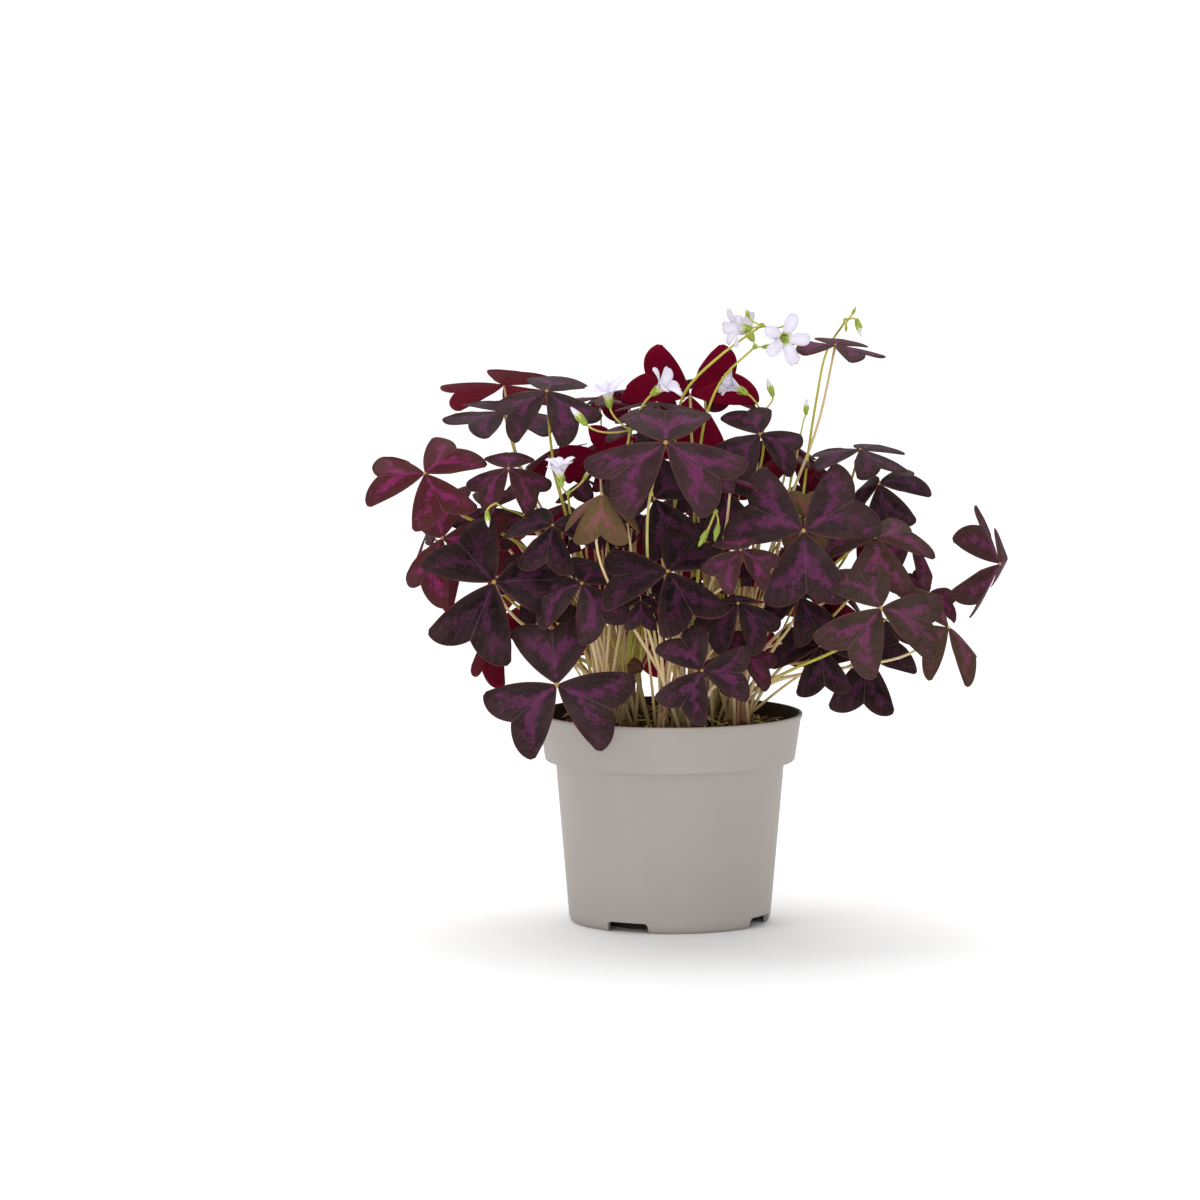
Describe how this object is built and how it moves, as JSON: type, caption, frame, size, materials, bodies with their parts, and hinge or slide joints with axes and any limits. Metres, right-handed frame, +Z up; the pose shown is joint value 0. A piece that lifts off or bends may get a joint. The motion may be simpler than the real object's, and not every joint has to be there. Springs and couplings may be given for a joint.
{
  "type": "potted purple shamrock",
  "caption": "Purple shamrock in a plain round nursery pot: a dome of triangular purple leaflets on thin stalks, with small white flowers above it.",
  "frame": {"origin": "centre of the pot's foot, on the surface that it stands on", "axes": "+Z up along the pot's axis, -Y towards the side that the plant is mostly seen from"},
  "size_m": [0.2844, 0.1975, 0.2821],
  "materials": {
    "pot": "warm grey moulded plastic, matte with a slight sheen",
    "soil": "dark crumbly potting soil, rough",
    "stalk": "smooth yellow-green and cream leaf stalks on brown scaly rhizomes",
    "leaf": "matte, dark purple with a magenta patch on top and wine red below",
    "spray": "thin green stalks with white silky petals"
  },
  "bodies": {
    "root": {"clump_back_left": "stalk", "clump_back_right": "stalk", "clump_front": "stalk", "clump_front_left": "stalk", "clump_front_right": "stalk", "leaf_01": "leaf", "leaf_02": "leaf", "leaf_03": "leaf", "leaf_04_15": "leaf", "leaf_05": "leaf", "leaf_06": "leaf", "leaf_07": "leaf", "leaf_08": "leaf", "leaf_09": "leaf", "leaf_10": "leaf", "leaf_11": "leaf", "leaf_12": "leaf", "leaf_13": "leaf", "leaf_16": "leaf", "leaf_17": "leaf", "leaf_18_25": "leaf", "leaf_19": "leaf", "leaf_20": "leaf", "leaf_21": "leaf", "leaf_22": "leaf", "leaf_23": "leaf", "leaf_24": "leaf", "leaf_26_31_34_37": "leaf", "leaf_27": "leaf", "leaf_28": "leaf", "leaf_29": "leaf", "leaf_30": "leaf", "leaf_32": "leaf", "leaf_33": "leaf", "leaf_35": "leaf", "leaf_36": "leaf", "leaf_38": "leaf", "leaf_39": "leaf", "leaf_40": "leaf", "leaf_41": "leaf", "leaf_back_1": "leaf", "leaf_back_2": "leaf", "leaf_back_3": "leaf", "leaf_back_4": "leaf", "leaf_back_5": "leaf", "leaf_back_6": "leaf", "leaf_back_7": "leaf", "leaf_back_8": "leaf", "leaf_back_9": "leaf", "pot": "pot", "soil": "soil", "spray_front": "spray", "spray_left": "spray", "spray_middle": "spray", "spray_right": "spray", "spray_tall": "spray", "spray_top": "spray", "spray_top_low": "spray"}
  },
  "joints": []
}
